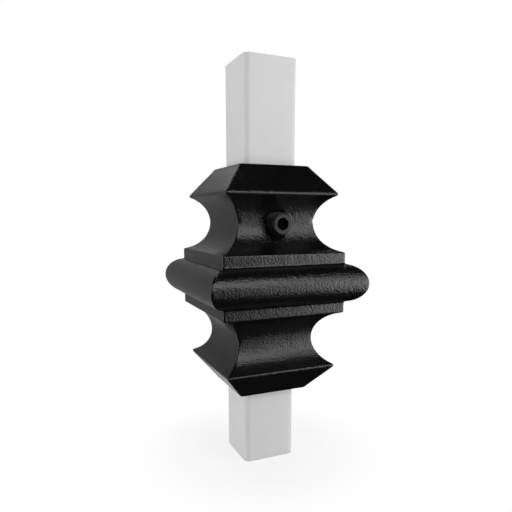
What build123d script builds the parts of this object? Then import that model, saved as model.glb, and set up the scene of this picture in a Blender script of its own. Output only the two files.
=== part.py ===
from build123d import *
import os

# A cast knuckle clamped by a set screw on a square iron baluster bar.
# Millimetres, +Z up along the bar, screw side towards -Y, origin at the centre of the bar's lower end.

# Bar
bar_side = 12.7
bar_corner_radius = 1.4
bar_length = 92.5

# Knuckle: widths are across the flats, heights are along the bar
knuckle_centre_height = 43.5
knuckle_height = 52.0
rim_width = 16.6
slope_height = 6.5
lip_width = 27.4
throat_width = 18.7
band_width = 29.4
band_height = 2.6
bead_width = 37.4
bead_diameter = 8.7

# Softened edges of the coated casting: its long edges, and its mitred corners more tightly
edge_round = 0.4
mitre_round = 0.2

# Square hole: slip fit on each side of the bar, and its eased mouths
hole_clearance = 0.15
mouth_chamfer = 0.3

# Set screw, M5 with a cup point
screw_diameter = 5.0
screw_length = 6.0
screw_clearance = 0.05
end_chamfer = 0.4
socket_across_flats = 2.5
socket_depth = 2.5
socket_point_angle = 83
cup_diameter = 2.5
cup_depth = 0.6
cup_rim = 0.2

# Derived sizes and places
bar_half = bar_side / 2
hole_side = bar_side + 2 * hole_clearance
rim_half = rim_width / 2
lip_half = lip_width / 2
throat_half = throat_width / 2
band_half = band_width / 2
bead_half = bead_width / 2
bead_radius = bead_diameter / 2
bead_middle = bead_half - bead_radius
knuckle_half_height = knuckle_height / 2
lip_level = knuckle_half_height - slope_height
band_level = bead_radius + band_height
throat_level = (lip_level + band_level) / 2
screw_radius = screw_diameter / 2
screw_height = knuckle_centre_height + throat_level
cup_rim_radius = cup_diameter / 2 + cup_rim
tip_taper = screw_radius - cup_rim_radius
same_place = 0.001

os.makedirs("parts", exist_ok=True)


# Square bar with plain sawn ends
with BuildPart() as bar:
    with BuildSketch():
        RectangleRounded(bar_side, bar_side, bar_corner_radius)
    extrude(amount=bar_length)

bar.part.label = "bar"
export_step(bar.part, "parts/bar.step")


# Moulded section that all four sides of the knuckle share, drawn at the back of its bead
section_plane = Plane(
    origin=(0, bead_half, knuckle_centre_height), x_dir=(1, 0, 0), z_dir=(0, -1, 0)
)
with BuildSketch(section_plane) as section:
    with BuildLine():
        rim = Line((0, knuckle_half_height), (rim_half, knuckle_half_height))
        slope = Line(rim @ 1, (lip_half, lip_level))
        scotia = ThreePointArc(slope @ 1, (throat_half, throat_level), (band_half, band_level))
        Polyline(scotia @ 1, (band_half, 0), (0, 0), rim @ 0)
    make_face()
    mirror(about=Plane.YZ)
    mirror(about=Plane.XZ)
    SlotOverall(bead_width, bead_diameter)
    corners = section.vertices().filter_by(
        lambda vertex: abs(abs(vertex.X) - bead_middle) > same_place
    )
    fillet(corners, edge_round)

# Knuckle: the section runs from back to front and from side to side, and what both hold is a
# casting with mitred corners; then its square hole, and the hole for the screw in the front
with BuildPart() as knuckle:
    extrude(section.sketch, amount=bead_width)
    extrude(section.sketch.rotate(Axis.Z, 90), amount=bead_width, mode=Mode.INTERSECT)
    mitres = knuckle.edges().filter_by(
        lambda edge: all(
            abs(abs(point.X) - abs(point.Y)) < same_place for point in (edge @ 0, edge @ 0.5, edge @ 1)
        )
    )
    fillet(mitres, mitre_round)
    with BuildSketch(Plane.XY):
        RectangleRounded(hole_side, hole_side, bar_corner_radius + hole_clearance)
    extrude(amount=knuckle_centre_height + knuckle_height, mode=Mode.SUBTRACT)
    rims = knuckle.faces().filter_by(Axis.Z).sort_by(Axis.Z)
    mouths = rims[0].inner_wires() + rims[-1].inner_wires()
    chamfer([edge for mouth in mouths for edge in mouth.edges()], mouth_chamfer)
    with BuildSketch(Plane.XZ):
        with Locations((0, screw_height)):
            Circle(screw_radius + screw_clearance)
    extrude(amount=bead_half, mode=Mode.SUBTRACT)

knuckle.part.label = "knuckle"
export_step(knuckle.part, "parts/knuckle.step")


# Set screw: turned outline from its cup point on the bar's face to its driven end, then the hex socket
tip_plane = Plane(origin=(0, -bar_half, screw_height), x_dir=(0, -1, 0), z_dir=(-1, 0, 0))
driven_plane = Plane(
    origin=(0, -bar_half - screw_length, screw_height), x_dir=(1, 0, 0), z_dir=(0, -1, 0)
)
with BuildPart() as set_screw:
    with BuildSketch(tip_plane):
        with BuildLine():
            Polyline(
                (cup_depth, 0),
                (0, cup_diameter / 2),
                (0, cup_rim_radius),
                (tip_taper, screw_radius),
                (screw_length - end_chamfer, screw_radius),
                (screw_length, screw_radius - end_chamfer),
                (screw_length, 0),
                close=True,
            )
        make_face()
    revolve(axis=Axis(tip_plane.origin, tip_plane.x_dir))
    with BuildSketch(driven_plane):
        RegularPolygon(
            socket_across_flats / 2, side_count=6, major_radius=False, rotation=socket_point_angle
        )
    extrude(amount=-socket_depth, mode=Mode.SUBTRACT)

set_screw.part.label = "set_screw"
export_step(set_screw.part, "parts/set_screw.step")
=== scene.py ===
"""Looks of a cast knuckle that a set screw clamps on a square baluster bar."""

import logging
import math
from abc import ABC, abstractmethod
from dataclasses import dataclass, field
from enum import Enum

import bmesh
import bpy
from bmesh.types import BMEdge, BMesh, BMVert
from bpy.types import ID, Material, Node, NodeSocket, NodeTree, Object, World
from mathutils import Matrix, Quaternion, Vector, noise

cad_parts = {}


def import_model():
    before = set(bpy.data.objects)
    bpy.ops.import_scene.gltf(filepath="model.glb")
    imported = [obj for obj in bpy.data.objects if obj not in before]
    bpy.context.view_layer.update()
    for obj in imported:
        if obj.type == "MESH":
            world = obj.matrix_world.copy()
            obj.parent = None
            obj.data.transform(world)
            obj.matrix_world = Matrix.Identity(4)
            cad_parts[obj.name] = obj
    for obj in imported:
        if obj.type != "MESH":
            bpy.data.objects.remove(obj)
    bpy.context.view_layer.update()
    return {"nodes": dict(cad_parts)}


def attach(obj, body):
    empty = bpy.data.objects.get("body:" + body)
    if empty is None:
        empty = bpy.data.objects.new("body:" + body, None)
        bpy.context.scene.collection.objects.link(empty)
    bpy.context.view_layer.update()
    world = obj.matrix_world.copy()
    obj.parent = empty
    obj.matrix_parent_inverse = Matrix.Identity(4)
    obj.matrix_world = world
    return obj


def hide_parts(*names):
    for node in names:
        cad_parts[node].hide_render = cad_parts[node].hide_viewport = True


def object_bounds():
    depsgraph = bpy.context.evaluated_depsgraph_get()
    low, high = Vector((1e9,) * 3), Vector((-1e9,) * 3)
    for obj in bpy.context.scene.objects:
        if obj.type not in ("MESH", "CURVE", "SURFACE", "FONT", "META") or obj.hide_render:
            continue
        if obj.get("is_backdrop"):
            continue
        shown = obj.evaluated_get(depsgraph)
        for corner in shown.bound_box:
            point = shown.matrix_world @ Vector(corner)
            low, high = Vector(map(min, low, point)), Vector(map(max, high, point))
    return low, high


# Meshes are shaped in millimetres and turned to metres when they are put in place
METRES_PER_MM = 0.001
# Points closer together than this, in millimetres, are one point
WELD = 0.0005
# A face lies level where the upright part of its normal is more than this
LEVEL = 0.95
SHARP_ANGLE = math.radians(35)
WHITE = (1.0, 1.0, 1.0, 1.0)

# Two measures, such as the ends of a range, and a point or a direction
Pair = tuple[float, float]
Place = tuple[float, float, float]

log = logging.getLogger("baluster")


class Cut(Enum):
    """What a carving tool does to a piece."""

    TAKE_AWAY = "DIFFERENCE"
    KEEP_SHARED = "INTERSECT"


class Rounded(Enum):
    """What a round runs along."""

    EDGES = "EDGES"
    CORNERS = "VERTICES"


def linear_rgb(code: str) -> tuple[float, float, float, float]:
    """Turns an sRGB hex colour into the linear colour that shaders read.

    Args:
        code: Six hex digits, with or without a leading #.

    Returns:
        Red, green, blue and an alpha of 1.
    """
    digits = code.lstrip("#")
    shares = [int(digits[place : place + 2], 16) / 255 for place in (0, 2, 4)]
    red, green, blue = (
        share / 12.92 if share <= 0.04045 else ((share + 0.055) / 1.055) ** 2.4 for share in shares
    )
    return red, green, blue, 1.0


def per_metre(size_mm: float) -> float:
    """Scale of a texture whose features measure size_mm, on coordinates in metres."""
    return 1 / (size_mm * METRES_PER_MM)


def cleared_tree(block: Material | World) -> NodeTree:
    """Gives a new material or world a node tree with nothing in it yet.

    Args:
        block: The material or world.

    Returns:
        Its node tree.
    """
    block.use_nodes = True
    block.node_tree.nodes.clear()
    return block.node_tree


def add_node(
    tree: NodeTree,
    kind: str,
    values: dict | None = None,
    links: dict | None = None,
    **settings: object,
) -> Node:
    """Adds one node with its settings, its sockets' values and the links that reach it.

    Args:
        tree: Node tree that gets the node.
        kind: Type name of the node.
        values: Value of each input socket that is set, by name or place.
        links: Output socket that feeds each linked input socket, by name or place.
        settings: Properties of the node itself.

    Returns:
        The new node.
    """
    node = tree.nodes.new(kind)
    for name, value in settings.items():
        setattr(node, name, value)
    for socket, value in (values or {}).items():
        node.inputs[socket].default_value = value
    for socket, source in (links or {}).items():
        tree.links.new(source, node.inputs[socket])
    return node


def verts_of(geometry: list) -> list[BMVert]:
    """Picks the vertices out of what an operator returns."""
    return [item for item in geometry if isinstance(item, BMVert)]


def rise(edge: BMEdge) -> float:
    """Height of an edge's higher end above its lower one."""
    return abs(edge.verts[0].co.z - edge.verts[1].co.z)


def unevenness(point: Vector, size_mm: float) -> float:
    """Smooth noise from 0 to 1 whose swells measure size_mm."""
    return noise.noise(point / size_mm) / 2 + 0.5


def round_off(
    bm: BMesh,
    edges_or_corners: list,
    offset: float,
    steps: int,
    along: Rounded = Rounded.EDGES,
) -> None:
    """Rounds some edges, or some corners of a wire.

    Args:
        bm: Bmesh that holds them.
        edges_or_corners: What is rounded.
        offset: How far from each of them its round starts.
        steps: Straight strips that a round is drawn with.
        along: Whether edges or corners are rounded.
    """
    bmesh.ops.bevel(
        bm,
        geom=edges_or_corners,
        offset=offset,
        offset_type="OFFSET",
        affect=along.value,
        segments=steps,
        profile=0.5,
        material=-1,
    )


def spin(
    bm: BMesh,
    geometry: list,
    angle: float,
    steps: int,
    centre: Place = (0, 0, 0),
    axis: Place = (0, 0, 1),
    climb: float = 0.0,
    closed: bool = False,
    copies: bool = False,
) -> list:
    """Turns geometry about an axis, and draws a surface or a wire behind it.

    Args:
        bm: Bmesh that holds the geometry.
        geometry: Vertices, edges and faces that are turned.
        angle: Whole turn in radians.
        steps: Steps in the turn.
        centre: Point that the axis runs through.
        axis: Direction of the axis.
        climb: Rise in each step.
        closed: Whether the last step is joined to the first.
        copies: Whether each step leaves a copy, with nothing drawn between.

    Returns:
        The geometry of the last step.
    """
    turned = bmesh.ops.spin(
        bm,
        geom=geometry,
        cent=centre,
        axis=axis,
        dvec=(0, 0, climb),
        angle=angle,
        steps=steps,
        use_merge=closed,
        use_normal_flip=False,
        use_duplicate=copies,
    )
    return turned["geom_last"]


def outline(bm: BMesh, points: list[Pair]) -> list:
    """Draws an open outline beside the upright axis.

    Args:
        bm: Bmesh that gets it.
        points: Distance from the axis and height of each corner.

    Returns:
        Its vertices and edges.
    """
    verts = [bm.verts.new((radius, 0, height)) for radius, height in points]
    return verts + [bm.edges.new(pair) for pair in zip(verts, verts[1:])]


def trim(bm: BMesh, point: Place, outward: Place) -> None:
    """Cuts off what lies beyond a plane, and leaves the cut open.

    Args:
        bm: Bmesh that is cut.
        point: A point of the plane.
        outward: The plane's normal, towards what is cut off.
    """
    bmesh.ops.bisect_plane(
        bm,
        geom=bm.verts[:] + bm.edges[:] + bm.faces[:],
        dist=WELD / 10,
        plane_co=point,
        plane_no=outward,
        clear_outer=True,
    )


def close_ends(bm: BMesh) -> None:
    """Closes each open end of a bmesh with a face."""
    bmesh.ops.holes_fill(bm, edges=[edge for edge in bm.edges if edge.is_boundary], sides=0)


def add_object(name: str, data: ID) -> Object:
    """Makes an object and links it to the scene.

    Args:
        name: Name of the object.
        data: Its mesh, light or camera.

    Returns:
        The object.
    """
    thing = bpy.data.objects.new(name, data)
    bpy.context.scene.collection.objects.link(thing)
    return thing


def add_mesh(name: str, bm: BMesh) -> Object:
    """Makes an object from a bmesh as it is.

    Args:
        name: Name of the object and its mesh.
        bm: Bmesh, which is freed here.

    Returns:
        The linked object.
    """
    mesh = bpy.data.meshes.new(name)
    bm.to_mesh(mesh)
    bm.free()
    return add_object(name, mesh)


def new_piece(name: str, bm: BMesh) -> Object:
    """Makes a piece from a bmesh, with its normals turned outwards.

    Args:
        name: Name of the object and its mesh.
        bm: Closed shape in millimetres, which is freed here.

    Returns:
        The linked object.
    """
    bmesh.ops.remove_doubles(bm, verts=bm.verts, dist=WELD)
    bmesh.ops.recalc_face_normals(bm, faces=bm.faces)
    return add_mesh(name, bm)


def put_in_place(piece: Object, place: Matrix) -> Object:
    """Turns a finished mesh from millimetres at its own origin to metres in the frame.

    Args:
        piece: Object whose mesh is finished.
        place: Where the mesh goes, in millimetres.

    Returns:
        The same object, smooth shaded between its sharp edges.
    """
    mesh = piece.data
    mesh.transform(Matrix.Scale(METRES_PER_MM, 4) @ place)
    mesh.shade_smooth()
    mesh.set_sharp_from_angle(angle=SHARP_ANGLE)
    mesh.update()
    return piece


def round_tool(name: str, place: Matrix, depth: float, radii: Pair, sides: int) -> Object:
    """Makes a round carving tool, straight or tapered.

    Args:
        name: Name of the tool.
        place: Where its middle goes, and how its upright axis is turned.
        depth: Its length.
        radii: Radius of its lower and of its upper end.
        sides: Sides that its round is drawn with.

    Returns:
        The tool.
    """
    bm = bmesh.new()
    bmesh.ops.create_cone(
        bm,
        cap_ends=True,
        segments=sides,
        radius1=radii[0],
        radius2=radii[1],
        depth=depth,
        matrix=place,
    )
    return new_piece(name, bm)


def carve(piece: Object, tool: Object, cut: Cut) -> None:
    """Carves a piece with a closed tool, and throws the tool away.

    Args:
        piece: Object that is carved.
        tool: Closed object that carves it.
        cut: Whether the tool's space is taken away or is what stays.
    """
    modifier = piece.modifiers.new("carve", "BOOLEAN")
    modifier.operation = cut.value
    modifier.solver = "EXACT"
    modifier.object = tool
    evaluated = piece.evaluated_get(bpy.context.evaluated_depsgraph_get())
    carved = bpy.data.meshes.new_from_object(evaluated)
    piece.modifiers.clear()
    old, piece.data = piece.data, carved
    carved.name = piece.name
    bpy.data.meshes.remove(old)
    bpy.data.meshes.remove(tool.data)


@dataclass(frozen=True)
class Finish(ABC):
    """What a surface is finished with, in patterns on the piece's object coordinates."""

    name: str
    # Colour where the finish's first pattern is 0, and where it is 1
    colours: tuple[str, str]
    # Roughness all over, or where that pattern is 0 and where it is 1
    roughness: float | Pair
    relief_mm: float
    ior: float = 1.5
    metallic: float = 0.0
    specular: float = 0.5

    def make(self) -> Material:
        """Builds the material.

        Returns:
            The material, named for the finish.
        """
        material = bpy.data.materials.new(self.name)
        tree = cleared_tree(material)
        place = add_node(tree, "ShaderNodeTexCoord").outputs["Object"]
        stain, height = self.patterns(tree, place)
        colour = add_node(
            tree,
            "ShaderNodeMix",
            {"A": linear_rgb(self.colours[0]), "B": linear_rgb(self.colours[1])},
            {"Factor": stain},
            data_type="RGBA",
        )
        bump = add_node(
            tree,
            "ShaderNodeBump",
            {"Strength": 1.0, "Distance": self.relief_mm * METRES_PER_MM},
            {"Height": height},
        )
        shader = add_node(
            tree,
            "ShaderNodeBsdfPrincipled",
            {"IOR": self.ior, "Metallic": self.metallic, "Specular IOR Level": self.specular},
            {"Base Color": colour.outputs["Result"], "Normal": bump.outputs["Normal"]},
        )
        if isinstance(self.roughness, tuple):
            gloss = add_node(
                tree,
                "ShaderNodeMapRange",
                {"To Min": self.roughness[0], "To Max": self.roughness[1]},
                {"Value": stain},
            )
            tree.links.new(gloss.outputs["Result"], shader.inputs["Roughness"])
        else:
            shader.inputs["Roughness"].default_value = self.roughness
        add_node(tree, "ShaderNodeOutputMaterial", links={"Surface": shader.outputs["BSDF"]})
        return material

    @abstractmethod
    def patterns(self, tree: NodeTree, place: NodeSocket) -> tuple[NodeSocket, NodeSocket]:
        """Adds the finish's own patterns.

        Args:
            tree: Node tree of the material.
            place: Socket with the object coordinates.

        Returns:
            Socket that changes the colour and gloss, and socket with the relief's height.
        """


@dataclass(frozen=True)
class PowderCoat(Finish):
    """Satin black powder coat over a sand casting.

    The eye sees a near-black skin with a soft sheen, and in the sheen the orange peel of the melted
    powder and the finer grain of the sand mould.
    """

    name: str = "satin_black_powder_coat"
    colours: tuple[str, str] = ("#060606", "#0a0a0a")
    roughness: Pair = (0.24, 0.28)
    relief_mm: float = 0.096
    # Orange peel of a polyester coat is under a millimetre across, and the sand's grain finer
    peel_mm: float = 0.9
    grain_mm: float = 0.36
    grain_share: float = 0.82
    patch_mm: float = 5.0

    def patterns(self, tree: NodeTree, place: NodeSocket) -> tuple[NodeSocket, NodeSocket]:
        """Adds the coat's slightly uneven patches, and its peel mixed with the sand's grain.

        Args:
            tree: Node tree of the material.
            place: Socket with the object coordinates.

        Returns:
            Socket of the patches, and socket of peel and grain.
        """
        patch, peel, grain = (
            add_node(
                tree,
                "ShaderNodeTexNoise",
                {"Scale": per_metre(size), "Detail": detail},
                {"Vector": place},
            )
            for size, detail in ((self.patch_mm, 3.0), (self.peel_mm, 1.0), (self.grain_mm, 0.0))
        )
        height = add_node(
            tree,
            "ShaderNodeMix",
            {"Factor": self.grain_share},
            {"A": peel.outputs["Fac"], "B": grain.outputs["Fac"]},
            data_type="FLOAT",
        )
        return patch.outputs["Fac"], height.outputs["Result"]


@dataclass(frozen=True)
class GreyPrimer(Finish):
    """Light grey primer sprayed on cold-drawn iron bar.

    The eye sees a flat pale grey with no shine, faintly uneven where the spray overlapped.
    """

    name: str = "light_grey_primer"
    colours: tuple[str, str] = ("#c9c9c9", "#d2d2d2")
    roughness: float = 0.62
    relief_mm: float = 0.004
    cloud_mm: float = 9.0
    # Dry spray is about a tenth of a millimetre; drawn coarser here so that it shows
    dust_mm: float = 0.35

    def patterns(self, tree: NodeTree, place: NodeSocket) -> tuple[NodeSocket, NodeSocket]:
        """Adds the primer's clouds and its dry dust.

        Args:
            tree: Node tree of the material.
            place: Socket with the object coordinates.

        Returns:
            Socket of the clouds, and socket of the dust.
        """
        cloud, dust = (
            add_node(
                tree,
                "ShaderNodeTexNoise",
                {"Scale": per_metre(size), "Detail": 2.0},
                {"Vector": place},
            )
            for size in (self.cloud_mm, self.dust_mm)
        )
        return cloud.outputs["Fac"], dust.outputs["Fac"]


@dataclass(frozen=True)
class SawnIron(Finish):
    """Iron bar end, bare from the saw.

    The eye sees dull grey metal crossed by fine saw lines, with a few brown freckles of rust.
    """

    name: str = "sawn_iron"
    colours: tuple[str, str] = ("#9a9894", "#6b4a35")
    roughness: Pair = (0.38, 0.6)
    relief_mm: float = 0.012
    metallic: float = 1.0
    # A bandsaw leaves a line about every 0.3 mm, and none of them is quite straight
    line_mm: float = 0.3
    line_wobble: float = 1.2
    freckle_mm: float = 1.4
    # Rust grows where the freckles' noise is between these, and never hides all of the metal
    freckle_edge: Pair = (0.58, 0.72)
    most_rust: float = 0.8

    def patterns(self, tree: NodeTree, place: NodeSocket) -> tuple[NodeSocket, NodeSocket]:
        """Adds the saw's lines and the rust.

        Args:
            tree: Node tree of the material.
            place: Socket with the object coordinates.

        Returns:
            Socket of the rust, and socket of the lines.
        """
        # A wave texture repeats every 2 pi / 20 of its scaled coordinate
        scale = per_metre(self.line_mm) * math.tau / 20
        lines = add_node(
            tree,
            "ShaderNodeTexWave",
            {"Scale": scale, "Distortion": self.line_wobble, "Detail": 2.0},
            {"Vector": place},
            bands_direction="Y",
        )
        freckles = add_node(
            tree,
            "ShaderNodeTexNoise",
            {"Scale": per_metre(self.freckle_mm), "Detail": 4.0},
            {"Vector": place},
        )
        low, high = self.freckle_edge
        rust = add_node(
            tree,
            "ShaderNodeMapRange",
            {"From Min": low, "From Max": high, "To Max": self.most_rust},
            {"Value": freckles.outputs["Fac"]},
        )
        return rust.outputs["Result"], lines.outputs["Fac"]


@dataclass(frozen=True)
class Mottled(Finish):
    """A finish whose colour, gloss and relief all follow one mottling."""

    mottle_mm: float = 1.0
    mottle_detail: float = 2.0

    def patterns(self, tree: NodeTree, place: NodeSocket) -> tuple[NodeSocket, NodeSocket]:
        """Adds the mottling.

        Args:
            tree: Node tree of the material.
            place: Socket with the object coordinates.

        Returns:
            Socket of the mottling, twice.
        """
        mottle = add_node(
            tree,
            "ShaderNodeTexNoise",
            {"Scale": per_metre(self.mottle_mm), "Detail": self.mottle_detail},
            {"Vector": place},
        )
        return mottle.outputs["Fac"], mottle.outputs["Fac"]


@dataclass(frozen=True)
class BlackOxide(Mottled):
    """Black oxide on an alloy steel set screw, dulled by a trace of oil.

    The eye sees a dark, slightly warm black that is duller than the coat round it, because the oil
    film mirrors less than bare oxide.
    """

    name: str = "black_oxide_steel"
    colours: tuple[str, str] = ("#080808", "#131211")
    roughness: Pair = (0.3, 0.44)
    relief_mm: float = 0.006
    ior: float = 1.43
    # The bath leaves the oxide mottled in spots under a millimetre across
    mottle_mm: float = 0.7
    mottle_detail: float = 3.0


@dataclass(frozen=True)
class SocketShadeSteel(Mottled):
    """Painted shade in the screw's socket: bare broached steel drawn dark and nearly without shine.

    It stands in for the shade deep in the recess, so that the eye sees a black hole with hardly any
    shine from its walls.
    """

    name: str = "socket_painted_shade"
    colours: tuple[str, str] = ("#0b0b0b", "#161616")
    roughness: float = 0.6
    relief_mm: float = 0.01
    # The low shine and dark colour are painted shade for the deep recess
    specular: float = 0.12
    # The broach leaves steps of about a quarter of a millimetre, which the mottling follows
    mottle_mm: float = 0.25


@dataclass(frozen=True)
class Moulding:
    """Section that the knuckle's four sides share, in millimetres.

    Each corner is its distance from the bar's middle and its height above the bead's middle.
    """

    rim: Pair = (8.3, 26.0)
    lip: Pair = (13.7, 19.5)
    throat: Pair = (9.35, 13.225)
    band_top: Pair = (14.7, 6.95)
    bead_reach: float = 18.7
    bead_radius: float = 4.35
    # The rim's flat is drawn this far in, and the square hole is cut through the cap inside it
    rim_flat: float = 0.7
    edge_round: float = 0.4
    lip_round: float = 0.6
    round_steps: int = 5
    bead_steps: int = 14
    scotia_steps: int = 25
    run_spacing: float = 0.55

    def scotia_centre(self) -> Pair:
        """Works out the middle of the hollow that runs from lip through throat to band.

        Returns:
            Its distance from the bar's middle and its height.
        """
        (x1, z1), (x2, z2), (x3, z3) = self.lip, self.throat, self.band_top
        doubled = 2 * (x1 * (z2 - z3) + x2 * (z3 - z1) + x3 * (z1 - z2))
        s1, s2, s3 = x1 * x1 + z1 * z1, x2 * x2 + z2 * z2, x3 * x3 + z3 * z3
        return (
            (s1 * (z2 - z3) + s2 * (z3 - z1) + s3 * (z1 - z2)) / doubled,
            (s1 * (x3 - x2) + s2 * (x1 - x3) + s3 * (x2 - x1)) / doubled,
        )

    def draw(self, bm: BMesh) -> None:
        """Draws the section as a wire on the front side, from the lower rim to the upper one.

        Args:
            bm: Empty bmesh that gets the wire.
        """
        bead_middle = self.bead_reach - self.bead_radius
        bead_end = math.acos((self.band_top[0] - bead_middle) / self.bead_radius)
        equator = bm.verts.new((0, -self.bead_reach, 0))
        band_foot = self._arc(bm, equator, (bead_middle, 0), bead_end, self.bead_steps)
        band_top = self._line(bm, band_foot, self.band_top)
        x, z = self.scotia_centre()
        start = math.atan2(self.band_top[1] - z, self.band_top[0] - x)
        end = math.atan2(self.lip[1] - z, self.lip[0] - x)
        inward_turn = (end - start) % math.tau - math.tau
        lip = self._arc(bm, band_top, (x, z), inward_turn, self.scotia_steps)
        rim = self._line(bm, lip, self.rim)
        self._line(bm, rim, (self.rim[0] - self.rim_flat, self.rim[1]))
        for corner in (band_foot, band_top, rim):
            self._round(bm, corner, self.edge_round)
        self._round(bm, lip, self.lip_round)
        for edge in [edge for edge in bm.edges if edge.calc_length() > 2 * self.run_spacing]:
            cuts = round(edge.calc_length() / self.run_spacing) - 1
            bmesh.ops.subdivide_edges(bm, edges=[edge], cuts=cuts)
        bmesh.ops.mirror(
            bm,
            geom=bm.verts[:] + bm.edges[:],
            matrix=Matrix.Identity(4),
            merge_dist=WELD,
            axis="Z",
        )

    def _arc(self, bm: BMesh, start: BMVert, centre: Pair, angle: float, steps: int) -> BMVert:
        """Carries the wire on along an arc.

        Args:
            bm: Bmesh that holds the wire.
            start: Last vertex of the wire so far.
            centre: The arc's middle, as a distance and a height.
            angle: Turn in radians, from outwards to upwards.
            steps: Straight pieces that the arc is drawn with.

        Returns:
            The wire's new last vertex.
        """
        last = spin(bm, [start], -angle, steps, centre=(0, -centre[0], centre[1]), axis=(1, 0, 0))
        return verts_of(last)[0]

    def _line(self, bm: BMesh, start: BMVert, end: Pair) -> BMVert:
        """Carries the wire on along a straight run.

        Args:
            bm: Bmesh that holds the wire.
            start: Last vertex of the wire so far.
            end: Where the run ends, as a distance and a height.

        Returns:
            The wire's new last vertex.
        """
        vert = bmesh.ops.extrude_vert_indiv(bm, verts=[start])["verts"][0]
        vert.co = (0, -end[0], end[1])
        return vert

    def _round(self, bm: BMesh, corner: BMVert, radius: float) -> None:
        """Rounds one corner of the wire.

        Args:
            bm: Bmesh that holds the wire.
            corner: Vertex between the two runs that meet.
            radius: Radius of the round.
        """
        before, after = (edge.other_vert(corner).co for edge in corner.link_edges)
        turn = (corner.co - before).angle(after - corner.co)
        round_off(bm, [corner], radius * math.tan(turn / 2), self.round_steps, Rounded.CORNERS)


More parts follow.
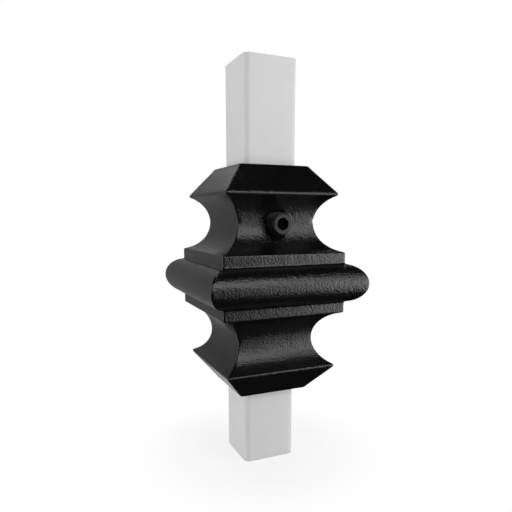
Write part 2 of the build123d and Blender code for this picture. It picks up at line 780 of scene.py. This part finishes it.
@dataclass
class KnuckleCasting:
    """The cast knuckle: four moulded sides that meet in mitres, round a square hole."""

    moulding: Moulding = Moulding()
    bead_level: float = 43.5
    arris_round: float = 0.32
    arris_steps: int = 3
    # Each side is divided into this many columns, so that its unevenness shows
    columns: int = 84
    # The moulding runs this far past its mitres before they are cut
    mitre_spare: float = 1.0
    # Edges that run along a side rise less than this
    level_slack: float = 0.02
    hole_side: float = 13.0
    hole_corner: float = 1.55
    hole_corner_steps: int = 6
    mouth_flare: float = 0.3
    screw_hole_radius: float = 2.55
    screw_hole_sides: int = 64
    # The tap's lead widens the hole's mouth: where it starts from the bar's middle, and its angle
    screw_lead_start: float = 8.9
    screw_lead_angle: float = math.radians(33)
    screw_lead_depth: float = 1.8
    # The sand mould leaves the faces and edges uneven by up to a tenth of a millimetre
    swell_mm: float = 5.0
    swell_depth: float = 0.07
    pit_mm: float = 1.3
    pit_depth: float = 0.045
    # Powder draws back from the lips and gathers there in drops over half a millimetre long
    drop_mm: float = 0.6
    drop_depth: float = 0.12
    drop_reach: float = 0.7
    # The unevenness fades out this near to the flat rims
    rim_fade: float = 0.6
    # Places of the chips on the arrises, from the middle of the bead
    chips: tuple[Place, ...] = (
        (9.2, -9.2, 13.9),
        (-9.2, -9.2, 13.6),
        (-9.2, -9.2, -12.6),
    )
    chip_radius: float = 0.75
    chip_depth: float = 0.22
    finish: Finish = PowderCoat()

    def build(self) -> Object:
        """Models the casting in its place.

        Returns:
            The finished casting.
        """
        bm = bmesh.new()
        self.moulding.draw(bm)
        self._run_sides(bm)
        self._soften_arrises(bm)
        self._divide_sides(bm)
        close_ends(bm)
        self._roughen(bm)
        casting = new_piece("knuckle_casting", bm)
        carve(casting, self._square_hole(), Cut.TAKE_AWAY)
        carve(casting, self._screw_hole(0, self.moulding.bead_reach, 0), Cut.TAKE_AWAY)
        carve(
            casting,
            self._screw_hole(self.screw_lead_start, self.screw_lead_depth, self.screw_lead_angle),
            Cut.TAKE_AWAY,
        )
        return put_in_place(casting, Matrix.Translation((0, 0, self.bead_level)))

    def dress(self, casting: Object) -> None:
        """Gives the casting its coat and ties it to the frame.

        Args:
            casting: The finished casting.
        """
        casting.data.materials.clear()
        casting.data.materials.append(self.finish.make())
        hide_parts("knuckle")
        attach(casting, "root")

    def _run_sides(self, bm: BMesh) -> None:
        """Runs the moulding along the front, cuts its mitres and turns it to all four sides.

        Args:
            bm: Bmesh that holds the section as a wire.
        """
        reach = self.moulding.bead_reach + self.mitre_spare
        bmesh.ops.translate(bm, verts=bm.verts, vec=(-reach, 0, 0))
        run = bmesh.ops.extrude_edge_only(bm, edges=bm.edges[:])
        bmesh.ops.translate(bm, verts=verts_of(run["geom"]), vec=(2 * reach, 0, 0))
        for side in (-1, 1):
            trim(bm, (0, 0, 0), (side, 1, 0))
        spin(bm, bm.verts[:] + bm.edges[:] + bm.faces[:], math.tau * 3 / 4, 3, copies=True)
        bmesh.ops.remove_doubles(bm, verts=bm.verts, dist=WELD)
        bmesh.ops.recalc_face_normals(bm, faces=bm.faces)

    def _soften_arrises(self, bm: BMesh) -> None:
        """Rounds the four mitred corners as the casting's are.

        Args:
            bm: Bmesh with the four sides.
        """
        arrises = []
        for edge in bm.edges:
            start, end = (vert.co for vert in edge.verts)
            on_mitre = (
                abs(abs(point.x) - abs(point.y)) < WELD for point in (start, end, (start + end) / 2)
            )
            if all(on_mitre):
                arrises.append(edge)
        round_off(bm, arrises, self.arris_round, self.arris_steps)

    def _divide_sides(self, bm: BMesh) -> None:
        """Divides the sides along their length, finely enough for the casting's unevenness.

        Args:
            bm: Bmesh with the four sides.
        """
        level = [
            edge
            for edge in bm.edges
            if rise(edge) < self.level_slack and edge.calc_length() > self.hole_side
        ]
        bmesh.ops.subdivide_edges(bm, edges=level, cuts=self.columns - 1, use_grid_fill=False)

    def _roughen(self, bm: BMesh) -> None:
        """Sinks the surface unevenly, as the sand mould and the powder leave it.

        Args:
            bm: Bmesh with the divided sides.
        """
        bmesh.ops.recalc_face_normals(bm, faces=bm.faces)
        bm.normal_update()
        for vert in bm.verts:
            fade = min((self.moulding.rim[1] - abs(vert.co.z)) / self.rim_fade, 1)
            vert.co -= vert.normal * self._sink(vert.co) * max(fade, 0)

    def _sink(self, point: Vector) -> float:
        """Says how deep the surface is sunk: swells, pits, drops along the lips, and chips.

        Args:
            point: Point of the even surface, from the middle of the bead.

        Returns:
            The depth in millimetres.
        """
        lip_reach, lip_level = self.moulding.lip
        off_lip = math.hypot(max(abs(point.x), abs(point.y)) - lip_reach, abs(point.z) - lip_level)
        near_lip = max(1 - off_lip / self.drop_reach, 0)
        depth = (
            self.swell_depth * unevenness(point, self.swell_mm)
            + self.pit_depth * unevenness(point, self.pit_mm)
            + self.drop_depth * near_lip * unevenness(point, self.drop_mm)
        )
        for chip in self.chips:
            near_chip = max(1 - (point - Vector(chip)).length / self.chip_radius, 0)
            depth += self.chip_depth * math.sqrt(near_chip)
        return depth

    def _square_hole(self) -> Object:
        """Makes the tool for the square hole, flared where it leaves the casting.

        Returns:
            The tool.
        """
        bm = bmesh.new()
        straight = 2 * (self.moulding.rim[1] - self.mouth_flare)
        bmesh.ops.create_cube(bm, size=1)
        bmesh.ops.scale(bm, verts=bm.verts, vec=(self.hole_side, self.hole_side, straight))
        corners = [edge for edge in bm.edges if rise(edge) > straight / 2]
        round_off(bm, corners, self.hole_corner, self.hole_corner_steps)
        # The flare runs at 45 degrees from just inside the rim to as far outside it
        flare = 2 * self.mouth_flare
        spread = 1 + 2 * flare / self.hole_side
        for end in (-1, 1):
            bm.normal_update()
            cap = [face for face in bm.faces if face.normal.z * end > LEVEL]
            mouth = verts_of(bmesh.ops.extrude_face_region(bm, geom=cap)["geom"])
            bmesh.ops.delete(bm, geom=cap, context="FACES")
            bmesh.ops.scale(bm, verts=mouth, vec=(spread, spread, 1))
            bmesh.ops.translate(bm, verts=mouth, vec=(0, 0, end * flare))
        return new_piece("square_hole_tool", bm)

    def _screw_hole(self, start: float, depth: float, angle: float) -> Object:
        """Makes the tool for the screw's hole in the front, or for its wider mouth.

        Args:
            start: The tool's inner end, from the bar's middle.
            depth: Its length towards the front.
            angle: How far its side leans out, in radians.

        Returns:
            The tool.
        """
        middle = Matrix.Translation((0, -start - depth / 2, self.moulding.throat[1]))
        return round_tool(
            "screw_hole_tool",
            middle @ Matrix.Rotation(math.pi / 2, 4, "X"),
            depth,
            (self.screw_hole_radius, self.screw_hole_radius + depth * math.tan(angle)),
            self.screw_hole_sides,
        )


@dataclass
class SquareBar:
    """The square bar, with eased corners and sawn ends."""

    side: float = 12.7
    length: float = 92.5
    corner_round: float = 1.4
    corner_steps: int = 8
    burr_round: float = 0.15
    burr_steps: int = 2
    rings: int = 120
    flat_columns: int = 10
    # Drawing leaves the faces true to a few hundredths of a millimetre
    swell_mm: float = 11.0
    swell_depth: float = 0.03
    paint: Finish = GreyPrimer()
    end: Finish = SawnIron()

    def build(self) -> Object:
        """Models the bar in its place.

        Returns:
            The finished bar.
        """
        bm = bmesh.new()
        bmesh.ops.create_cube(bm, size=1)
        bmesh.ops.scale(bm, verts=bm.verts, vec=(self.side, self.side, self.length))
        bmesh.ops.translate(bm, verts=bm.verts, vec=(0, 0, self.length / 2))
        round_off(bm, self._upright(bm), self.corner_round, self.corner_steps)
        rims = [edge for edge in bm.edges if self._is_rim(edge)]
        round_off(bm, rims, self.burr_round, self.burr_steps)
        bmesh.ops.subdivide_edges(bm, edges=self._upright(bm), cuts=self.rings)
        self._divide_flats(bm)
        self._draw_true(bm)
        for face in bm.faces:
            face.material_index = int(abs(face.normal.z) > LEVEL)
        return put_in_place(new_piece("square_bar", bm), Matrix.Identity(4))

    def dress(self, bar: Object) -> None:
        """Gives the bar its primer and its sawn ends, and ties it to the frame.

        Args:
            bar: The finished bar.
        """
        for finish in (self.paint, self.end):
            bar.data.materials.append(finish.make())
        # The photo's bar is faded, so that the knuckle's dark lower slope doesn't mirror it
        bar.visible_glossy = False
        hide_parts("bar")
        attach(bar, "root")

    def _upright(self, bm: BMesh) -> list[BMEdge]:
        """Finds the edges that run along the whole bar."""
        return [edge for edge in bm.edges if edge.calc_length() > self.length / 2]

    def _is_rim(self, edge: BMEdge) -> bool:
        """Says whether an edge goes round one of the bar's ends."""
        heights = {round(vert.co.z, 3) for vert in edge.verts}
        return heights in ({0.0}, {round(self.length, 3)})

    def _divide_flats(self, bm: BMesh) -> None:
        """Divides the flats between the rounded corners.

        Args:
            bm: Bmesh that holds the bar.
        """
        level = [edge for edge in bm.edges if rise(edge) < WELD]
        across = [edge for edge in level if edge.calc_length() > self.side / 2]
        bmesh.ops.subdivide_edges(bm, edges=across, cuts=self.flat_columns - 1, use_grid_fill=False)

    def _draw_true(self, bm: BMesh) -> None:
        """Sinks the faces slightly and unevenly, as drawing leaves them.

        Args:
            bm: Bmesh with the divided bar.
        """
        bm.normal_update()
        for vert in bm.verts:
            if min(vert.co.z, self.length - vert.co.z) > self.burr_round:
                vert.co -= vert.normal * self.swell_depth * unevenness(vert.co, self.swell_mm)


@dataclass
class SetScrew:
    """M5 set screw with a cup point and a hexagon socket."""

    level: float = 56.725
    bar_face: float = 6.35
    length: float = 6.0
    radius: float = 2.5
    pitch: float = 0.8
    flank_angle: float = math.radians(30)
    turn_steps: int = 60
    # The rod is threaded this many turns past each of the screw's ends before it is cut
    spare_turns: int = 2
    end_chamfer: float = 0.4
    cup_radius: float = 1.25
    cup_rim: float = 0.2
    cup_depth: float = 0.6
    socket_sides: int = 6
    socket_flats: float = 2.5
    socket_depth: float = 2.5
    socket_point_turn: float = math.radians(7)
    socket_tip: float = 0.7
    # The socket's mouth is eased by a 45 degree drill, whose point is slightly blunt
    lead_in: float = 0.08
    lead_point: float = 0.01
    blank_sides: int = 96
    spare: float = 0.1
    finish: Finish = BlackOxide()
    # Painted shade: the socket's faces get a dull dark finish that stands in for the recess's shade
    socket_shade_finish: Finish = SocketShadeSteel()

    def build(self) -> Object:
        """Models the screw in its place, its cup point on the bar's face.

        Returns:
            The finished screw.
        """
        screw = self._threads()
        carve(screw, self._blank(), Cut.KEEP_SHARED)
        carve(screw, self._socket(), Cut.TAKE_AWAY)
        carve(screw, self._lead_in(), Cut.TAKE_AWAY)
        place = Matrix.Translation((0, -self.bar_face, self.level))
        return put_in_place(screw, place @ Matrix.Rotation(math.pi / 2, 4, "X"))

    def dress(self, screw: Object) -> None:
        """Gives the screw its finish and ties it to the frame.

        Args:
            screw: The finished screw.
        """
        screw.data.materials.clear()
        for finish in (self.finish, self.socket_shade_finish):
            screw.data.materials.append(finish.make())
        # Faces in the socket take the painted shade for the recess
        for face in screw.data.polygons:
            face.material_index = int(self._is_in_socket(face.center / METRES_PER_MM))
        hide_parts("set_screw")
        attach(screw, "root")

    def _socket_reach(self) -> float:
        """Distance from the screw's axis to the socket's points."""
        return self.socket_flats / 2 / math.cos(math.pi / self.socket_sides)

    def _is_in_socket(self, point: Vector) -> bool:
        """Tells whether a point lies in the screw's socket, below its lead-in.

        Args:
            point: Point of the placed screw, in millimetres.

        Returns:
            True where it does.
        """
        depth = self.bar_face + self.length + point.y
        off_axis = math.hypot(point.x, point.z - self.level)
        deepest = self.socket_depth + self.socket_tip + self.spare
        return off_axis < self._socket_reach() and self.lead_in + WELD < depth < deepest

    def _threads(self) -> Object:
        """Winds the thread up a rod that is longer than the screw.

        Returns:
            The threaded rod, closed at both ends.
        """
        # A metric thread is flat for an eighth of its pitch at the crest, and a quarter at the root
        crest = self.pitch / 8
        root = self.pitch / 4
        flank = (self.pitch - crest - root) / 2
        groove = flank / math.tan(self.flank_angle)
        bm = bmesh.new()
        low = -self.spare_turns * self.pitch
        tooth = outline(
            bm,
            [
                (self.radius - groove, low),
                (self.radius - groove, low + root),
                (self.radius, low + root + flank),
                (self.radius, low + root + flank + crest),
                (self.radius - groove, low + self.pitch),
            ],
        )
        turns = round(self.length / self.pitch) + 2 * self.spare_turns
        climb = self.pitch / self.turn_steps
        spin(bm, tooth, math.tau * turns, self.turn_steps * turns, climb=climb)
        bmesh.ops.remove_doubles(bm, verts=bm.verts, dist=WELD)
        trim(bm, (0, 0, -self.spare), (0, 0, -1))
        trim(bm, (0, 0, self.length + self.spare), (0, 0, 1))
        close_ends(bm)
        return new_piece("set_screw_m5", bm)

    def _blank(self) -> Object:
        """Turns the blank that gives the screw its ends: cup point below, chamfer above.

        Returns:
            The blank, which is slightly wider than the thread.
        """
        wide = self.radius + self.spare
        tip = self.cup_radius + self.cup_rim
        driven = self.radius - self.end_chamfer
        bm = bmesh.new()
        half = outline(
            bm,
            [
                (0, self.cup_depth),
                (self.cup_radius, 0),
                (tip, 0),
                (wide, wide - tip),
                (wide, self.length - wide + driven),
                (driven, self.length),
                (0, self.length),
            ],
        )
        spin(bm, half, math.tau, self.blank_sides, closed=True)
        return new_piece("screw_blank_tool", bm)

    def _socket(self) -> Object:
        """Makes the tool for the hexagon socket, with the drill's point at its bottom.

        Returns:
            The tool.
        """
        bm = bmesh.new()
        reach = self.socket_depth + self.spare
        middle = Matrix.Translation((0, 0, self.length - self.socket_depth + reach / 2))
        bmesh.ops.create_cone(
            bm,
            cap_ends=True,
            segments=self.socket_sides,
            radius1=self._socket_reach(),
            radius2=self._socket_reach(),
            depth=reach,
            matrix=middle @ Matrix.Rotation(-self.socket_point_turn, 4, "Z"),
        )
        bm.normal_update()
        bottom = [face for face in bm.faces if face.normal.z < -LEVEL]
        bmesh.ops.poke(bm, faces=bottom, offset=self.socket_tip)
        return new_piece("hexagon_tool", bm)

    def _lead_in(self) -> Object:
        """Makes the tool that eases the socket's mouth.

        Returns:
            The tool.
        """
        widest = self.socket_flats / 2 + self.lead_in
        return round_tool(
            "lead_in_tool",
            Matrix.Translation((0, 0, self.length + (self.spare - widest) / 2)),
            widest + self.spare,
            (self.lead_point, widest + self.spare),
            self.blank_sides,
        )


def toward(azimuth: float, elevation: float) -> Vector:
    """Direction from the object, as a unit vector.

    Args:
        azimuth: Degrees round from the front, positive to the right.
        elevation: Degrees above the horizon.

    Returns:
        The direction in the frame.
    """
    turn, lift = math.radians(azimuth), math.radians(elevation)
    level = math.cos(lift)
    return Vector((math.sin(turn) * level, -math.cos(turn) * level, math.sin(lift)))


@dataclass(frozen=True)
class SoftLamp:
    """A large soft lamp that faces the object and isn't itself seen.

    Its angles are in degrees, and its distance and side in metres.
    """

    name: str
    azimuth: float
    elevation: float
    distance: float
    side: float
    radiance: float

    def stand(self, centre: Vector) -> None:
        """Puts the lamp up.

        Args:
            centre: Point that the lamp faces, in metres.
        """
        light = bpy.data.lights.new(self.name, "AREA")
        light.shape = "SQUARE"
        light.size = self.side
        light.energy = self.radiance * math.pi * self.side**2
        lamp = add_object(self.name, light)
        direction = toward(self.azimuth, self.elevation)
        lamp.location = centre + direction * self.distance
        lamp.rotation_euler = direction.to_track_quat("Z", "Y").to_euler()
        lamp.visible_camera = lamp.visible_glossy = False


@dataclass(frozen=True)
class GlossCard:
    """A bright, grey or black card that only gloss shows.

    A photographer stands such cards round dark metal to shape what it mirrors. The angles are in
    degrees, and the distance, width and height in metres.
    """

    name: str
    azimuth: float
    elevation: float
    distance: float
    width: float
    height: float
    radiance: float = 0.0
    roll: float = 0.0

    def stand(self, centre: Vector) -> None:
        """Puts the card up.

        Args:
            centre: Point that the card faces, in metres.
        """
        bm = bmesh.new()
        bmesh.ops.create_grid(bm, x_segments=1, y_segments=1, size=0.5)
        bmesh.ops.scale(bm, verts=bm.verts, vec=(self.width, self.height, 1))
        card = add_mesh(self.name, bm)
        card.data.materials.append(self._glow())
        direction = toward(self.azimuth, self.elevation)
        card.location = centre + direction * self.distance
        turn = direction.to_track_quat("Z", "Y") @ Quaternion((0, 0, 1), math.radians(self.roll))
        card.rotation_euler = turn.to_euler()
        card.visible_camera = card.visible_diffuse = card.visible_shadow = False
        card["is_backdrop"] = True

    def _glow(self) -> Material:
        """Makes the card's plain glow.

        Returns:
            Its material, which is black where the radiance is 0.
        """
        material = bpy.data.materials.new(self.name)
        tree = cleared_tree(material)
        glow = add_node(tree, "ShaderNodeEmission", {"Color": WHITE, "Strength": self.radiance})
        add_node(tree, "ShaderNodeOutputMaterial", links={"Surface": glow.outputs[0]})
        return material


@dataclass
class Studio:
    """Floor, lamps, cards and camera round the object, in metres."""

    # The middle of the knuckle's bead, which every lamp and card faces
    centre: Vector = field(default_factory=lambda: Vector((0, 0, 0.0435)))
    floor_radius: float = 0.3
    floor_sides: int = 96
    # The floor lies just below the bar's end, so that the two never share a plane
    floor_drop: float = 0.00002
    floor_shade: str = "#e6e6e6"
    # The floor turns from lit to plain white between these distances from the foot, in metres
    shadow_edge: Pair = (0.008, 0.035)
    least_white: float = 0.8
    room_light: float = 0.35
    # Where the photograph was taken from, by its perspective
    camera_place: Vector = field(default_factory=lambda: Vector((-0.048824, -0.108941, 0.058590)))
    camera_azimuth: float = -23.73
    camera_elevation: float = 9.683
    lens_px: float = 496.4
    picture_px: float = 512.0
    middle_row: float = 300.0
    sensor_mm: float = 36.0
    nearest: float = 0.005
    # Name, azimuth, elevation, distance, side, radiance
    lamps: tuple[SoftLamp, ...] = (
        SoftLamp("front_right_lamp", 43, 20, 0.42, 0.3, 3.9),
        SoftLamp("left_lamp", -100, -4, 0.45, 0.4, 2.5),
        SoftLamp("front_left_lamp", -40, 15, 0.45, 0.5, 0.4),
        SoftLamp("back_lamp", 165, 25, 0.45, 0.4, 1.6),
    )
    # Name, azimuth, elevation, distance, width, height, radiance, roll
    cards: tuple[GlossCard, ...] = (
        GlossCard("high_bright_card", 16, 31, 0.25, 0.165, 0.145, 3.0),
        GlossCard("low_bright_card", 57, -6, 0.25, 0.17, 0.22, 4.2, 34),
        GlossCard("front_left_card", -34, 0, 0.3, 0.74, 0.8),
        GlossCard("right_card", 118, 5, 0.3, 0.6, 0.8),
        GlossCard("back_card", -168, 0, 0.3, 0.4, 0.32, 0.27),
        GlossCard("top_card", 0, 90, 0.3, 0.9, 0.9),
        GlossCard("bottom_card", 0, -90, 0.3, 0.9, 0.9, 0.02),
        GlossCard("right_softbox", 97, 10, 0.25, 0.13, 0.22, 1.7),
        GlossCard("left_softbox", -108, 12, 0.25, 0.13, 0.24, 2.0),
        GlossCard("back_softbox", 162, 38, 0.25, 0.14, 0.13, 1.0),
        GlossCard("right_back_softbox", 124, 10, 0.25, 0.09, 0.2, 1.2),
        GlossCard("front_left_softbox", -50, 10, 0.25, 0.12, 0.22, 0.25),
        GlossCard("top_softbox", 168, 66, 0.25, 0.13, 0.11, 1.4),
    )

    def build(self) -> None:
        """Sets up everything round the object."""
        self._floor()
        for light in self.lamps + self.cards:
            light.stand(self.centre)
        self._world()
        self._camera()
        bpy.context.scene.view_settings.view_transform = "Standard"

    def _seen_rays(self, tree: NodeTree) -> NodeSocket:
        """Adds the nodes that tell apart the rays which may see the white background.

        Args:
            tree: Node tree of the floor or the world.

        Returns:
            Socket that is 1 for camera, glossy and transmission rays.
        """
        path = add_node(tree, "ShaderNodeLightPath")
        seen = path.outputs["Is Camera Ray"]
        for kind in ("Is Glossy Ray", "Is Transmission Ray"):
            links = {0: seen, 1: path.outputs[kind]}
            seen = add_node(tree, "ShaderNodeMath", links=links, operation="MAXIMUM").outputs[0]
        return seen

    def _floor(self) -> None:
        """Lays a round white floor under the bar, which the knuckle's gloss doesn't show."""
        bm = bmesh.new()
        sides = self.floor_sides
        bmesh.ops.create_circle(bm, cap_ends=True, segments=sides, radius=self.floor_radius)
        bmesh.ops.translate(bm, verts=bm.verts, vec=(0, 0, -self.floor_drop))
        floor = add_mesh("floor", bm)
        floor.data.materials.append(self._floor_paint())
        floor.visible_glossy = floor.visible_shadow = False
        floor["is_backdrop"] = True

    def _floor_paint(self) -> Material:
        """Makes matt white paint that keeps the object's shadow near its foot.

        Returns:
            The paint, which is plain white to the eye further out.
        """
        material = bpy.data.materials.new("matt_white_floor")
        tree = cleared_tree(material)
        place = add_node(tree, "ShaderNodeTexCoord").outputs["Object"]
        distance = add_node(tree, "ShaderNodeVectorMath", links={0: place}, operation="LENGTH")
        near, far = self.shadow_edge
        plain = add_node(
            tree,
            "ShaderNodeMapRange",
            {"From Min": near, "From Max": far, "To Min": self.least_white},
            {"Value": distance.outputs["Value"]},
            interpolation_type="SMOOTHSTEP",
        )
        share = add_node(
            tree,
            "ShaderNodeMath",
            links={0: self._seen_rays(tree), 1: plain.outputs["Result"]},
            operation="MULTIPLY",
        )
        lit = add_node(tree, "ShaderNodeBsdfDiffuse", {"Color": linear_rgb(self.floor_shade)})
        white = add_node(tree, "ShaderNodeEmission", {"Color": WHITE, "Strength": 1.0})
        mixed = add_node(
            tree,
            "ShaderNodeMixShader",
            links={0: share.outputs[0], 1: lit.outputs[0], 2: white.outputs[0]},
        )
        add_node(tree, "ShaderNodeOutputMaterial", links={"Surface": mixed.outputs[0]})
        return material

    def _world(self) -> None:
        """Makes the room white to the eye and in gloss, and gives a lower even light."""
        world = bpy.data.worlds.new("white_room")
        bpy.context.scene.world = world
        tree = cleared_tree(world)
        strength = add_node(
            tree,
            "ShaderNodeMapRange",
            {"To Min": self.room_light, "To Max": 1.0},
            {"Value": self._seen_rays(tree)},
        )
        sky = add_node(
            tree,
            "ShaderNodeBackground",
            {"Color": WHITE},
            {"Strength": strength.outputs["Result"]},
        )
        add_node(tree, "ShaderNodeOutputWorld", links={"Surface": sky.outputs[0]})

    def _camera(self) -> None:
        """Stands the camera where the photograph was taken from."""
        lens = bpy.data.cameras.new("camera")
        lens.sensor_width = self.sensor_mm
        lens.lens = self.sensor_mm * self.lens_px / self.picture_px
        lens.shift_y = (self.middle_row - self.picture_px / 2) / self.picture_px
        lens.clip_start = self.nearest
        camera = add_object("camera", lens)
        camera.location = self.camera_place
        back = toward(self.camera_azimuth, self.camera_elevation)
        camera.rotation_euler = back.to_track_quat("Z", "Y").to_euler()
        bpy.context.scene.camera = camera


def corners() -> list[list[float]]:
    """Lowest and highest corner of the shown object, as plain numbers."""
    return [list(corner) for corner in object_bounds()]


def main() -> None:
    """Builds the pieces in order."""
    logging.basicConfig(level=logging.INFO, format="%(name)s: %(message)s")
    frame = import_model()
    log.info("frame has %s", ", ".join(sorted(frame["nodes"])))
    for maker in (SquareBar(), KnuckleCasting(), SetScrew()):
        piece = maker.build()
        maker.dress(piece)
        piece.data.calc_loop_triangles()
        log.info("%s: %d triangles", piece.name, len(piece.data.loop_triangles))
    Studio().build()


if __name__ == "__main__":
    main()
